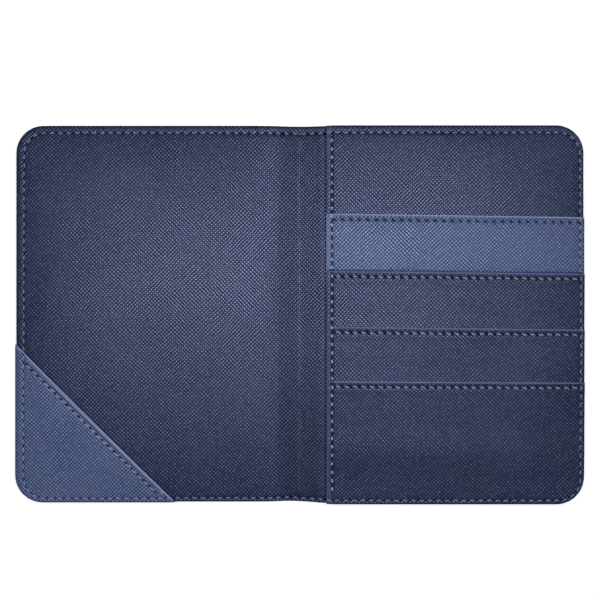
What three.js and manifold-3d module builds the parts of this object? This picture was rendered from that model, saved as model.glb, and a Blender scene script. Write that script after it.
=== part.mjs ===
// Passport holder, lying open and flat with its inner side up.
// Units are millimetres. +Z is up, +X is to the reader's right and +Y is away from the reader.
// The origin is on the surface that the holder lies on, under the middle of its outline.
// The front half, with the corner pocket, is on the left. The back half, with the sleeve panel and
// the card pockets, is on the right. The spine between them folds along a crease on each side.

import * as THREE from 'three';
import { mergeVertices } from 'three/addons/utils/BufferGeometryUtils.js';
import Module from 'manifold-3d';

// Outline of the open holder
const WIDTH = 210;
const HEIGHT = 140;
const CORNER_RADIUS = 10.25;
const ARC_SEGMENTS = 8;

// Creases: each half starts CREASE_GAP past its crease, and the spine stops as far before it
const CREASE_X = 5;
const CREASE_GAP = 0.25;

// Thickness of each material
const COVER_THICKNESS = 1;
const BOARD_THICKNESS = 0.75;
const LEATHER_THICKNESS = 0.75;
const LINER_THICKNESS = 0.25;
const HEM_EXTRA = 0.25;
const THREAD_THICKNESS = 0.25;

// Boards: the cover turns in round them by MARGIN, and the lining climbs onto them beside the crease
const MARGIN = 5;
const BOARD_CLEARANCE = 0.25;
const DIP_END_X = 7;
const DIP_SLOPE = 1;
const BOARD_START_X = 8.75;

// Slip spaces, for the passport's cover under the panel and for its corner under the corner pocket
const SLIP_GAP = 0.5;
const SEWN_MARGIN = 4;
const PANEL_LEFT = 10;
const CORNER_POCKET_LEG = 58.5;

// Card pockets
const POCKET_COUNT = 4;
const FIRST_MOUTH_Y = 37;
const MOUTH_SPACING = 20.75;
const TUCK = 6;
const HEM_HEIGHT = 4;
const RAISED_HEIGHT = 7;
const RAISED_SLOPE = 3;
const SLOT_DEPTH = 47;
const LINER_SIDE_MARGIN = 5;
const LINER_END_GAP = 0.25;
const LAST_POCKET_FLAT = 13;
const LAST_POCKET_SLOPE = 4;

// Seams: distance of each line of stitching from the edge beside it
const THREAD_WIDTH = 0.625;
const GROOVE_WIDTH = 1;
const SEAM_LEFT = 3;
const SEAM_TOP = 2.5;
const SEAM_RIGHT = 1.75;
const SEAM_BOTTOM = 1.75;
const SEAM_RADIUS = 8;
const PANEL_SEAM_X = PANEL_LEFT + 2;
const MOUTH_SEAM = 2.125;
const HYPOTENUSE_SEAM = 2;
const SEAM_END_GAP = 0.75;
const STEP_RUN = 0.25;

// Levels of the layers, from the surface that the holder lies on
const COVER_TOP = COVER_THICKNESS;
const BOARD_TOP = COVER_TOP + BOARD_THICKNESS;
const SPINE_TOP = COVER_TOP + LEATHER_THICKNESS;
const LINING_TOP = BOARD_TOP + LEATHER_THICKNESS;
const SLIP_TOP = LINING_TOP + SLIP_GAP;
const PANEL_TOP = SLIP_TOP + LEATHER_THICKNESS;
const LINER_TOP = PANEL_TOP + LINER_THICKNESS;

// Upper side of the pocket faces: the first lies on the panel, and each later one lies on a liner
// and climbs onto the tucked end of the face before it
const FIRST_FACE_TOP = PANEL_TOP + LEATHER_THICKNESS;
const FACE_TOP = LINER_TOP + LEATHER_THICKNESS;
const RAISED_TOP = FACE_TOP + LEATHER_THICKNESS;

const RIGHT = WIDTH / 2;
const TOP = HEIGHT / 2;
const HALF_START = CREASE_X + CREASE_GAP;
const SPINE_END = CREASE_X - CREASE_GAP;
const BEYOND = 1;
const ABOVE_ALL = 20;

function finish(color, roughness) {
  return new THREE.MeshStandardMaterial({ color, roughness, metalness: 0, flatShading: true });
}

const NAVY = finish(0x42476a, 0.5);
const LIGHT_BLUE = finish(0x62719a, 0.5);
const BOARD = finish(0x8b8276, 0.9);
const LINER = finish(0x23263a, 0.95);
const THREAD = finish(0x8d95b8, 0.7);

const wasm = await Module();
wasm.setup();

// A closed geometry as a solid that can be cut and joined
function toSolid(geometry) {
  geometry.deleteAttribute('normal');
  geometry.deleteAttribute('uv');
  const merged = mergeVertices(geometry);
  return new wasm.Manifold(new wasm.Mesh({
    numProp: 3,
    vertProperties: new Float32Array(merged.attributes.position.array),
    triVerts: new Uint32Array(merged.index.array),
  }));
}

function toGeometry(solid) {
  const found = solid.getMesh();
  const geometry = new THREE.BufferGeometry();
  geometry.setAttribute('position', new THREE.BufferAttribute(found.vertProperties, 3));
  geometry.setIndex(new THREE.BufferAttribute(found.triVerts, 1));
  geometry.computeVertexNormals();
  return geometry;
}

function extrude(shape, depth) {
  return new THREE.ExtrudeGeometry(shape, { depth, bevelEnabled: false, curveSegments: ARC_SEGMENTS });
}

// A plan shape made solid between two levels
function prism(shape, bottom, top) {
  return toSolid(extrude(shape, top - bottom).translate(0, 0, bottom));
}

function polygon(points) {
  return new THREE.Shape(points.map(([a, b]) => new THREE.Vector2(a, b)));
}

// A profile of (y, z) points carried along X
function alongX(points, left, right) {
  const turn = new THREE.Matrix4().set(0, 0, 1, left, 1, 0, 0, 0, 0, 1, 0, 0, 0, 0, 0, 1);
  return extrude(polygon(points), right - left).applyMatrix4(turn);
}

// A profile of (x, z) points carried along Y, over the whole height
function alongY(points) {
  const turn = new THREE.Matrix4().set(1, 0, 0, 0, 0, 0, -1, TOP, 0, 1, 0, 0, 0, 0, 0, 1);
  return extrude(polygon(points), HEIGHT).applyMatrix4(turn);
}

function block(left, right, near, far, bottom, top) {
  const box = new THREE.BoxGeometry(right - left, far - near, top - bottom);
  return toSolid(box.translate((left + right) / 2, (near + far) / 2, (bottom + top) / 2));
}

function roundedRectangle(left, near, right, far, radius) {
  const shape = new THREE.Shape();
  shape.moveTo(left + radius, near);
  shape.lineTo(right - radius, near);
  shape.absarc(right - radius, near + radius, radius, -Math.PI / 2, 0);
  shape.lineTo(right, far - radius);
  shape.absarc(right - radius, far - radius, radius, 0, Math.PI / 2);
  shape.lineTo(left + radius, far);
  shape.absarc(left + radius, far - radius, radius, Math.PI / 2, Math.PI);
  shape.lineTo(left, near + radius);
  shape.absarc(left + radius, near + radius, radius, Math.PI, 1.5 * Math.PI);
  return shape;
}

// The holder's outline, or the same outline drawn in by a margin, between two levels
function outline(bottom, top, inset = 0) {
  const shape = roundedRectangle(
    -RIGHT + inset, -TOP + inset, RIGHT - inset, TOP - inset, CORNER_RADIUS - inset);
  return prism(shape, bottom, top);
}

// Everything from one x to another
function slice(left, right) {
  return block(left, right, -TOP - BEYOND, TOP + BEYOND, -BEYOND, ABOVE_ALL);
}

// Everything on one side of the holder, from a distance outwards: side is -1 for front, 1 for back
function sideSlice(side, start) {
  const far = side * (RIGHT + BEYOND);
  return slice(Math.min(side * start, far), Math.max(side * start, far));
}

// A flat strip laid along [x, y, z] points, where z is its underside
function strip(points, width, thickness) {
  const vertices = [];
  const faces = [];
  points.forEach(([x, y, z], place) => {
    const [beforeX, beforeY] = points[Math.max(place - 1, 0)];
    const [afterX, afterY] = points[Math.min(place + 1, points.length - 1)];
    const length = Math.hypot(afterX - beforeX, afterY - beforeY);
    const sideX = (width / 2) * (beforeY - afterY) / length;
    const sideY = (width / 2) * (afterX - beforeX) / length;
    vertices.push(x + sideX, y + sideY, z, x - sideX, y - sideY, z);
    vertices.push(x - sideX, y - sideY, z + thickness, x + sideX, y + sideY, z + thickness);
  });
  const quad = (a, b, c, d) => faces.push(a, b, c, a, c, d);
  for (let start = 0; start < 4 * (points.length - 1); start += 4) {
    for (let edge = 0; edge < 4; edge += 1) {
      const next = (edge + 1) % 4;
      quad(start + edge, start + 4 + edge, start + 4 + next, start + next);
    }
  }
  const end = 4 * (points.length - 1);
  quad(0, 1, 2, 3);
  quad(end + 3, end + 2, end + 1, end);
  const geometry = new THREE.BufferGeometry();
  geometry.setAttribute('position', new THREE.Float32BufferAttribute(vertices, 3));
  geometry.setIndex(faces);
  geometry.computeVertexNormals();
  return geometry;
}

const thread = (points) => strip(points, THREAD_WIDTH, THREAD_THICKNESS);

// The perimeter seam of one half: out from the crease along the top edge, down the outer edge and
// back along the bottom edge. It has a level for each end, and stations where its height changes.
function seamPath(side, start, levels, sideStations = [], bottomStations = []) {
  const seamX = RIGHT - (side < 0 ? SEAM_LEFT : SEAM_RIGHT);
  const [far, near] = [TOP - SEAM_TOP, -TOP + SEAM_BOTTOM];
  const bend = (centreY, turnStart, z) => Array.from({ length: ARC_SEGMENTS + 1 }, (_, step) => {
    const turn = turnStart - (step / ARC_SEGMENTS) * (Math.PI / 2);
    const x = seamX - SEAM_RADIUS + SEAM_RADIUS * Math.cos(turn);
    return [side * x, centreY + SEAM_RADIUS * Math.sin(turn), z];
  });
  return [
    [side * start, far, levels.top],
    ...bend(far - SEAM_RADIUS, Math.PI / 2, levels.top),
    ...sideStations.map(([y, z]) => [side * seamX, y, z]),
    ...bend(near + SEAM_RADIUS, 0, levels.bottom),
    ...bottomStations.map(([x, z]) => [x, near, z]),
    [side * start, near, bottomStations.length ? levels.top : levels.bottom],
  ];
}

// The triangle of the corner pocket, with legs of a given length
function cornerTriangle(leg, bottom, top) {
  return prism(polygon([[-RIGHT, -TOP], [-RIGHT + leg, -TOP], [-RIGHT, -TOP + leg]]), bottom, top);
}

const holder = new THREE.Group();
const halves = { front: new THREE.Group(), spine: new THREE.Group(), back: new THREE.Group() };
holder.add(halves.front, halves.spine, halves.back);

function add(part, name, geometry, material, x = 0, y = 0, z = 0) {
  const mesh = new THREE.Mesh(geometry, material);
  mesh.name = name;
  mesh.position.set(x, y, z);
  halves[part].add(mesh);
}

// Outer cover of one half: a sheet whose turned-in margin frames the board, with the lower thread's
// groove in its underside
function coverHalf(side) {
  const sheet = outline(0, COVER_TOP).intersect(sideSlice(side, HALF_START));
  const margin = outline(COVER_TOP, BOARD_TOP)
    .subtract(outline(0, ABOVE_ALL, MARGIN))
    .intersect(sideSlice(side, BOARD_START_X));
  const path = seamPath(side, CREASE_X, { top: -BEYOND, bottom: -BEYOND });
  const groove = toSolid(strip(path, GROOVE_WIDTH, BEYOND + THREAD_THICKNESS));
  return toGeometry(sheet.add(margin).subtract(groove));
}

// Outer cover across the spine, with the same two grooves
function coverSpine() {
  let sheet = block(-SPINE_END, SPINE_END, -TOP, TOP, 0, COVER_TOP);
  for (const y of [TOP - SEAM_TOP, -TOP + SEAM_BOTTOM]) {
    const [near, far] = [y - GROOVE_WIDTH / 2, y + GROOVE_WIDTH / 2];
    sheet = sheet.subtract(block(-CREASE_X, CREASE_X, near, far, -BEYOND, THREAD_THICKNESS));
  }
  return toGeometry(sheet);
}

// Stiffener board of one half, with rounded outer corners
function boardHalf(side) {
  const board = outline(COVER_TOP, BOARD_TOP, MARGIN + BOARD_CLEARANCE);
  return toGeometry(board.intersect(sideSlice(side, BOARD_START_X)));
}

// Lining of one half: flat on the board, and down on the cover beside the crease
function liningHalf(side) {
  const points = [
    [HALF_START, COVER_TOP],
    [DIP_END_X + BOARD_CLEARANCE, COVER_TOP],
    [DIP_END_X + DIP_SLOPE + BOARD_CLEARANCE, BOARD_TOP],
    [RIGHT, BOARD_TOP],
    [RIGHT, LINING_TOP],
    [DIP_END_X + DIP_SLOPE, LINING_TOP],
    [DIP_END_X, SPINE_TOP],
    [HALF_START, SPINE_TOP],
  ];
  const sheet = toSolid(alongY(points.map(([x, z]) => [side * x, z])));
  return toGeometry(sheet.intersect(outline(0, ABOVE_ALL)));
}

// Panel over the back half, open towards the spine
function sleevePanel() {
  return toGeometry(outline(SLIP_TOP, PANEL_TOP).intersect(sideSlice(1, PANEL_LEFT)));
}

// Triangle over the front half's lower corner, open along its hypotenuse
function cornerPocket() {
  const triangle = cornerTriangle(CORNER_POCKET_LEG, SLIP_TOP, PANEL_TOP);
  return toGeometry(triangle.intersect(outline(0, ABOVE_ALL)));
}

// Skived hem folded under the sewn margin of the panel or the corner pocket: it holds the sheet off
// the lining, from one y to another, within a region
function hem(region, near, far) {
  const band = outline(LINING_TOP, SLIP_TOP).subtract(outline(0, ABOVE_ALL, SEWN_MARGIN));
  return toGeometry(band.intersect(block(-RIGHT, RIGHT, near, far, 0, ABOVE_ALL)).intersect(region));
}

// Thread along the hypotenuse
function cornerPocketThread() {
  const reach = CORNER_POCKET_LEG - HYPOTENUSE_SEAM * Math.SQRT2;
  return thread([
    [-RIGHT + SEWN_MARGIN, -TOP + reach - SEWN_MARGIN, PANEL_TOP],
    [-RIGHT + reach - SEWN_MARGIN, -TOP + SEWN_MARGIN, PANEL_TOP],
  ]);
}

const mouthY = (index) => FIRST_MOUTH_Y - index * MOUTH_SPACING;

// Upper side of each pocket face, as (y, z) points from its mouth down
function facePoints(index) {
  const mouth = mouthY(index);
  const raised = index === 0 ? FIRST_FACE_TOP : RAISED_TOP;
  const low = index === 0 ? FIRST_FACE_TOP : FACE_TOP;
  const points = [
    [mouth, raised + HEM_EXTRA],
    [mouth - HEM_HEIGHT, raised + HEM_EXTRA],
    [mouth - HEM_HEIGHT, raised],
    [mouth - RAISED_HEIGHT, raised],
    [mouth - RAISED_HEIGHT - RAISED_SLOPE, low],
  ];
  if (index === POCKET_COUNT - 1) {
    points.push(
      [-TOP + LAST_POCKET_FLAT + LAST_POCKET_SLOPE, low],
      [-TOP + LAST_POCKET_FLAT, FIRST_FACE_TOP],
      [-TOP, FIRST_FACE_TOP]);
  } else {
    points.push([mouthY(index + 1) - TUCK, low]);
  }
  return points;
}

// One pocket face: its underside follows its upper side, without the hem
function pocketFace(index) {
  const upper = facePoints(index);
  const [mouthEdge, , , ...belowHem] = upper;
  const hemless = [[mouthEdge[0], mouthEdge[1] - HEM_EXTRA], ...belowHem];
  const lower = hemless.map(([y, z]) => [y, z - LEATHER_THICKNESS]).reverse();
  const face = toSolid(alongX([...lower, ...upper], PANEL_LEFT, RIGHT));
  return toGeometry(face.intersect(outline(0, ABOVE_ALL)));
}

// Where a thread that runs down over the pockets changes height, as (y, z) stations. It climbs to
// each mouth, and comes down from each hem, over a short run.
function stackStations() {
  const stations = [];
  let level = PANEL_TOP;
  for (let index = 0; index < POCKET_COUNT; index += 1) {
    const bottom = index === POCKET_COUNT - 1 ? -TOP : mouthY(index + 1);
    const shown = facePoints(index).filter(([y]) => y > bottom);
    const hemFoot = shown[2];
    hemFoot[0] -= STEP_RUN;
    stations.push([mouthY(index) + STEP_RUN, level], ...shown);
    level = shown.at(-1)[1];
  }
  return stations;
}

// Thread down the panel's free edge, over the left ends of the pockets
function panelEdgeThread() {
  const end = TOP - SEWN_MARGIN;
  const stations = [[end, PANEL_TOP], ...stackStations(), [-end, FIRST_FACE_TOP]];
  return thread(stations.map(([y, z]) => [PANEL_SEAM_X, y, z]));
}

// Perimeter thread on the lining, which climbs over the corner pocket's two sewn edges
function seamThreadFront() {
  const stepY = -TOP + CORNER_POCKET_LEG - SEAM_LEFT + SEAM_END_GAP;
  const stepX = -RIGHT + CORNER_POCKET_LEG - SEAM_BOTTOM + SEAM_END_GAP;
  return thread(seamPath(
    -1, BOARD_START_X, { top: LINING_TOP, bottom: PANEL_TOP },
    [[stepY + STEP_RUN, LINING_TOP], [stepY, PANEL_TOP]],
    [[stepX, PANEL_TOP], [stepX + STEP_RUN, LINING_TOP]]));
}

// Perimeter thread on the back half: along the panel's top, down over the pockets' right ends and
// along the last pocket's bottom
function seamThreadBack() {
  const levels = { top: PANEL_TOP, bottom: FIRST_FACE_TOP };
  return thread(seamPath(1, PANEL_LEFT + STEP_RUN, levels, stackStations()));
}

// Thread in the groove on the underside
function bobbinHalf(side) {
  return thread(seamPath(side, HALF_START, { top: 0, bottom: 0 }));
}

for (const [part, side] of [['front', -1], ['back', 1]]) {
  add(part, `outer_cover_${part}`, coverHalf(side), NAVY);
  add(part, `stiffener_${part}`, boardHalf(side), BOARD);
  add(part, `lining_${part}`, liningHalf(side), NAVY);
  add(part, `bobbin_thread_${part}`, bobbinHalf(side), THREAD);
}

add('spine', 'outer_cover_spine', coverSpine(), NAVY);
const spineLining = new THREE.BoxGeometry(2 * SPINE_END, HEIGHT, LEATHER_THICKNESS);
add('spine', 'lining_spine', spineLining, NAVY, 0, 0, COVER_TOP + LEATHER_THICKNESS / 2);
const spineThread = new THREE.BoxGeometry(2 * SPINE_END, THREAD_WIDTH, THREAD_THICKNESS);
for (const [end, y] of [['top', TOP - SEAM_TOP], ['bottom', -TOP + SEAM_BOTTOM]]) {
  add('spine', `seam_thread_spine_${end}`, spineThread, THREAD, 0, y, SPINE_TOP + THREAD_THICKNESS / 2);
  add('spine', `bobbin_thread_spine_${end}`, spineThread, THREAD, 0, y, THREAD_THICKNESS / 2);
}

const cornerStart = TOP - CORNER_RADIUS;
const pocketRegion = cornerTriangle(CORNER_POCKET_LEG, 0, ABOVE_ALL);
add('front', 'corner_pocket', cornerPocket(), LIGHT_BLUE);
add('front', 'corner_pocket_hem_left', hem(pocketRegion, -cornerStart, TOP), LIGHT_BLUE);
add('front', 'corner_pocket_hem_bottom', hem(pocketRegion, -TOP, -cornerStart), LIGHT_BLUE);
add('front', 'corner_pocket_thread', cornerPocketThread(), THREAD);
add('front', 'seam_thread_front', seamThreadFront(), THREAD);

const panelRegion = sideSlice(1, PANEL_LEFT);
add('back', 'sleeve_panel', sleevePanel(), NAVY);
add('back', 'sleeve_hem_top', hem(panelRegion, cornerStart, TOP), NAVY);
add('back', 'sleeve_hem_right', hem(panelRegion, -cornerStart, cornerStart), NAVY);
add('back', 'sleeve_hem_bottom', hem(panelRegion, -TOP, -cornerStart), NAVY);
add('back', 'panel_edge_thread', panelEdgeThread(), THREAD);
add('back', 'seam_thread_back', seamThreadBack(), THREAD);

// Each fabric liner hangs from the tucked end of its pocket face and ends at the slot's bottom
const linerHeight = SLOT_DEPTH - MOUTH_SPACING - TUCK - LINER_END_GAP;
const linerWidth = RIGHT - PANEL_LEFT - 2 * LINER_SIDE_MARGIN;
const liner = new THREE.BoxGeometry(linerWidth, linerHeight, LINER_THICKNESS);
const mouthThreadStart = PANEL_SEAM_X + SEAM_END_GAP;
const mouthThreadEnd = RIGHT - SEAM_RIGHT - SEAM_END_GAP;
const mouthThread = new THREE.BoxGeometry(
  mouthThreadEnd - mouthThreadStart, THREAD_WIDTH, THREAD_THICKNESS);

for (let index = 0; index < POCKET_COUNT; index += 1) {
  const number = index + 1;
  const mouth = mouthY(index);
  add('back', `card_pocket_${number}`, pocketFace(index), index === 0 ? LIGHT_BLUE : NAVY);
  const hemTop = facePoints(index)[0][1];
  const threadX = (mouthThreadStart + mouthThreadEnd) / 2;
  add('back', `pocket_thread_${number}`, mouthThread, THREAD,
    threadX, mouth - MOUTH_SEAM, hemTop + THREAD_THICKNESS / 2);
  if (number < POCKET_COUNT) {
    add('back', `pocket_liner_${number}`, liner, LINER,
      (PANEL_LEFT + RIGHT) / 2, mouth - SLOT_DEPTH + linerHeight / 2, PANEL_TOP + LINER_THICKNESS / 2);
  }
}

export default holder;
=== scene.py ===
import math
from functools import partial

import bmesh
import bpy
import numpy as np
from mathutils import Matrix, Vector
from mathutils.geometry import delaunay_2d_cdt


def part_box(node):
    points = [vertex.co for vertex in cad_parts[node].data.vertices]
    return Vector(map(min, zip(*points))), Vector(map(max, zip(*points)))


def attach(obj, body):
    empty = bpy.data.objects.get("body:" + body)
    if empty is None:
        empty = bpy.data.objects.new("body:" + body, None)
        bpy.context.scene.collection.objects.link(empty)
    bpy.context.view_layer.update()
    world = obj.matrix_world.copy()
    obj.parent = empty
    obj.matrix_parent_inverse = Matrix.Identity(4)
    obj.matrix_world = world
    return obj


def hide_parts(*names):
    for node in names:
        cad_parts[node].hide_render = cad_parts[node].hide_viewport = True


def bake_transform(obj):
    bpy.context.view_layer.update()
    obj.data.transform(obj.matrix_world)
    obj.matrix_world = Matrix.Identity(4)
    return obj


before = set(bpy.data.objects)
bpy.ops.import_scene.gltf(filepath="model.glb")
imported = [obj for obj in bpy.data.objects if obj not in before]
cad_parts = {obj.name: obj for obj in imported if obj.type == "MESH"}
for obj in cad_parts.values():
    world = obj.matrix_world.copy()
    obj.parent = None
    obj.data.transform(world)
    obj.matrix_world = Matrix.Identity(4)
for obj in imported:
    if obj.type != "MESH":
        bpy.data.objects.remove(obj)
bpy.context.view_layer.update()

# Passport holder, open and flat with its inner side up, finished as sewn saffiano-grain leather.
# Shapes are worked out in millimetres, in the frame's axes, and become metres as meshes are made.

MM = 0.001
SQUARE_ROOT_HALF = math.sqrt(0.5)


def low(node):
    """Lowest corner of a CAD node, in millimetres"""
    return np.array(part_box(node)[0]) / MM


def high(node):
    """Highest corner of a CAD node, in millimetres"""
    return np.array(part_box(node)[1]) / MM


# Outline
RIGHT = high("outer_cover_back")[0]
TOP = high("outer_cover_back")[1]
CORNER_RADIUS = 10.25
ARC_POINTS = 33

# Levels of the layers
COVER_TOP = low("stiffener_back")[2]
BOARD_TOP = high("stiffener_back")[2]
LINING_TOP = high("lining_front")[2]
SLIP_TOP = low("sleeve_panel")[2]
PANEL_TOP = high("sleeve_panel")[2]
LINER_TOP = high("pocket_liner_1")[2]
LEATHER = PANEL_TOP - SLIP_TOP
FIRST_FACE_TOP = PANEL_TOP + LEATHER
FACE_TOP = LINER_TOP + LEATHER
RAISED_TOP = FACE_TOP + LEATHER
HEM_EXTRA = 0.2
SEWN_MARGIN = 4
HEM_SHARE = 0.8
COVER_MARGIN = 5
MARGIN_RUN = 0.15
BOARD_RUN = 0.2
BOBBIN_LEVEL = 0.3

# Across the spine the lining hangs a little lower than on the boards, and climbs beside their edges
SPINE_SAG = 0.28
DIP_END = 5.6
DIP_RUN = 3.2
BOARD_EDGE = low("stiffener_back")[0]

# Creases: a skin's mesh points lie closer together across the spine, out to a little past BEND_END
BEND_END = 8

# How much the front half's lower edge is drawn up, and how far the spine is drawn in at its ends
FRONT_LIFT = 0.65
FRONT_FADE = (-6, 12)
WAIST = 0.3
WAIST_REACH = 9

# The padding's swell over each board, and the gentle ridge across the front board
SWELL = 0.7
SWELL_MIDDLE = (RIGHT + BOARD_EDGE) / 2
SWELL_REACH = RIGHT - SWELL_MIDDLE
SWELL_POWER = 6
RIDGE_Y = 6
RIDGE_HEIGHT = 0.5

PANEL_LEFT = low("sleeve_panel")[0]
CORNER_LEG = high("corner_pocket")[0] + RIGHT

# Card pockets: how far each mouth is from its CAD place, its y at its middle, and how much lower its
# right end is than its left
POCKETS = 4
NUMBERS = range(1, POCKETS + 1)
MOUTH_SHIFTS = (-0.59, -0.77, -0.55, 0.44)
MOUTHS = [high(f"card_pocket_{number}")[1] + shift for number, shift in zip(NUMBERS, MOUTH_SHIFTS)]
POCKET_ENDS = [low(f"card_pocket_{number}")[1] for number in NUMBERS]
MOUTH_FALLS = (1.3, 1.05, 1.05, 0.48)
MOUTH_MIDDLE = (RIGHT + PANEL_LEFT) / 2
POCKET_WIDTH = RIGHT - PANEL_LEFT
HEM_HEIGHT = 4
HEM_FADE = 2
RAISED_HEIGHT = 4
RAISED_RUN = 15
RAISED_FALL = 0.35
LAST_FLAT = 6
LAST_RUN = 16

# Seams
SEAM_LEFT = 3
SEAM_TOP = 2.8
SEAM_RIGHT = 1.45
SEAM_BOTTOM = 1.5
SEAM_RADIUS = 8
PANEL_SEAM_X = PANEL_LEFT + 2
MOUTH_SEAM = 1.9
MOUTH_SEAM_GAP = 0.75
HYPOTENUSE_SEAM = 2
STITCH_PITCH = 3.12
THREAD_RADIUS = 0.26
LINE_STEP = 0.2

# Needle holes, as shares of a seam's own hole size, and the furrow that the thread presses in. HOLE_SHADE
# is where along a hole's shape its painted shade fades in.
HOLE_LENGTH = 0.62
HOLE_BREADTH = 1.2
HOLE_DEPTH = 0.4
HOLE_SHADE = (0.25, 0.75)
FURROW_DEPTH = 0.09
FURROW_REACH = 0.75

# Shading marks: painted shade on the spine, painted highlight and flat grain on folded edges and the panel's
# left strip, darker outer edges, and the one mouth, counted from 0, with a painted shadow on the sheet under
# it
SPINE_SHADE_DARKNESS = 0.4
FOLD_WIDTH = (0.3, 0.55)
PANEL_EDGE_LOSS = 0.45
PANEL_EDGE_REACH = (0.8, 1.2)
STRIP_STRENGTH = 0.27
STRIP_FADE = 0.5
EDGE_STRENGTH = 0.55
EDGE_WIDTH = (0.3, 0.9)
OUTLINE_FADE = (0.3, 1.5)
DARK_MOUTH = 1
PANEL_SHADE = 0.75
CORNER_SHADE = 0.3
SHADE_START = (-0.6, -0.2)
SHADE_END = (0.3, 1.1)
SHADE_OFFSETS = (-0.6, -0.2, 0.0, 0.2, 0.34, 0.5, 0.7, 0.9, 1.1)

# Mesh steps, and how far inner points stay from a sheet's rounded edge
EDGE_STEP = 0.8
COARSE_STEP = 2.2
COVER_STEP = 3.0
HIDDEN_STEP = 4.0
CREASE_STEP = 0.65
CREASE_MARGIN = 1.6
POINT_CLEARANCE = 0.12
ROUNDING_STEPS = 3
SHARP_ANGLE = 0.9
STEP_OFFSETS = (-1.2, -0.6, 0, 0.6, 1.2)
NEAR_ZERO = 1e-6
FAR = 99.0


def smooth(start, end, value):
    """0 before start, 1 past end, and an even curve between them"""
    share = np.clip((value - start) / (end - start), 0, 1)
    return share * share * (3 - 2 * share)


# ---- heights of the layers

def swell(x, y):
    """How far the padding lifts every layer over a board"""
    across = np.clip(np.abs(np.abs(x) - SWELL_MIDDLE) / SWELL_REACH, 0, 1)
    along = np.clip(np.abs(y) / TOP, 0, 1)
    fade = (1 - across ** SWELL_POWER) * (1 - along ** SWELL_POWER)
    slope = np.where(y > RIDGE_Y, (TOP - y) / (TOP - RIDGE_Y), (TOP + y) / (TOP + RIDGE_Y))
    ridge = np.where(x < 0, RIDGE_HEIGHT * np.clip(slope, 0, 1), 0)
    return fade * (SWELL + ridge)


def lining_top(x, y):
    climb = smooth(DIP_END, DIP_END + DIP_RUN, np.abs(x))
    return LINING_TOP - SPINE_SAG * (1 - climb) + swell(x, y)


def lining_bottom(x, y):
    return lining_top(x, y) - LEATHER


def cover_top(x, y):
    """Upper side of the cover, whose turned-in margin frames the boards"""
    depth = holder_depth(x, y)
    in_margin = 1 - smooth(COVER_MARGIN - MARGIN_RUN, COVER_MARGIN + MARGIN_RUN, depth)
    beside_board = smooth(BOARD_EDGE - BOARD_RUN, BOARD_EDGE + BOARD_RUN, np.abs(x))
    return COVER_TOP + (BOARD_TOP - COVER_TOP) * in_margin * beside_board


def cover_bottom(x, y):
    return np.zeros_like(x)


def panel_top(x, y):
    return PANEL_TOP + swell(x, y)


def panel_bottom(x, y):
    return SLIP_TOP + swell(x, y)


def mouth_y(index, x):
    return MOUTHS[index] - MOUTH_FALLS[index] * (x - MOUTH_MIDDLE) / POCKET_WIDTH


def pocket_base(index, x, y):
    """Upper side of a pocket face without its hem"""
    below = mouth_y(index, x) - y
    if index == 0:
        return FIRST_FACE_TOP + swell(x, y)
    height = RAISED_TOP - RAISED_FALL * smooth(RAISED_HEIGHT, RAISED_HEIGHT + RAISED_RUN, below)
    if index == POCKETS - 1:
        bottom_fall = RAISED_TOP - RAISED_FALL - FIRST_FACE_TOP
        height = height - bottom_fall * (1 - smooth(LAST_FLAT, LAST_FLAT + LAST_RUN, y + TOP))
    return height + swell(x, y)


def pocket_top(index, x, y):
    below = mouth_y(index, x) - y
    hem = 1 - smooth(HEM_HEIGHT - HEM_FADE, HEM_HEIGHT + HEM_FADE, below)
    return pocket_base(index, x, y) + HEM_EXTRA * hem


def pocket_bottom(index, x, y):
    return pocket_base(index, x, y) - LEATHER


def stack_top(x, y):
    """What shows on the back half: the panel, or the lowest pocket whose mouth is above the point"""
    height = np.where(x < PANEL_LEFT, lining_top(x, y), panel_top(x, y))
    for index in range(POCKETS):
        covered = (x >= PANEL_LEFT) & (y <= mouth_y(index, x))
        height = np.where(covered, pocket_top(index, x, y), height)
    return height


def front_top(x, y):
    """What shows on the front half: the lining, or the corner pocket"""
    in_corner = (x + RIGHT) + (y + TOP) <= CORNER_LEG
    return np.where(in_corner, panel_top(x, y), lining_top(x, y))


def painted_spine_shade(x):
    """Painted shade on the spine, where its leather has no board behind it"""
    return SPINE_SHADE_DARKNESS * (1 - smooth(DIP_END - 1, DIP_END + DIP_RUN + 2, np.abs(x)))


# ---- plans

def holder_depth(x, y):
    """Distance inside the holder's outline"""
    past_x = np.abs(x) - (RIGHT - CORNER_RADIUS)
    past_y = np.abs(y) - (TOP - CORNER_RADIUS)
    beyond = np.hypot(np.maximum(past_x, 0), np.maximum(past_y, 0))
    return CORNER_RADIUS - beyond - np.minimum(np.maximum(past_x, past_y), 0)


def arc(centre, radius, start, end, count=ARC_POINTS):
    turn = np.linspace(start, end, count)
    return np.column_stack([centre[0] + radius * np.cos(turn), centre[1] + radius * np.sin(turn)])


def holder_outline():
    """The outline's points, anticlockwise from the middle of its bottom edge"""
    far_x, far_y = RIGHT - CORNER_RADIUS, TOP - CORNER_RADIUS
    centres = [(far_x, -far_y), (far_x, far_y), (-far_x, far_y), (-far_x, -far_y)]
    corners = [
        arc(centre, CORNER_RADIUS, (place - 1) * math.pi / 2, place * math.pi / 2)
        for place, centre in enumerate(centres)
    ]
    return np.vstack([[(0, -TOP)], corners[0], corners[1], [(0, TOP)], corners[2], corners[3]])


def clip(points, normal, limit):
    """The part of a convex outline where normal . point is at most limit"""
    side = points @ np.array(normal) - limit
    side[np.abs(side) < 1e-9] = 0
    kept = []
    for place, here in enumerate(points):
        after = (place + 1) % len(points)
        if side[place] <= 0:
            kept.append(here)
        if side[place] * side[after] < 0:
            kept.append(here + (points[after] - here) * side[place] / (side[place] - side[after]))
    return np.array(kept)


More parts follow.
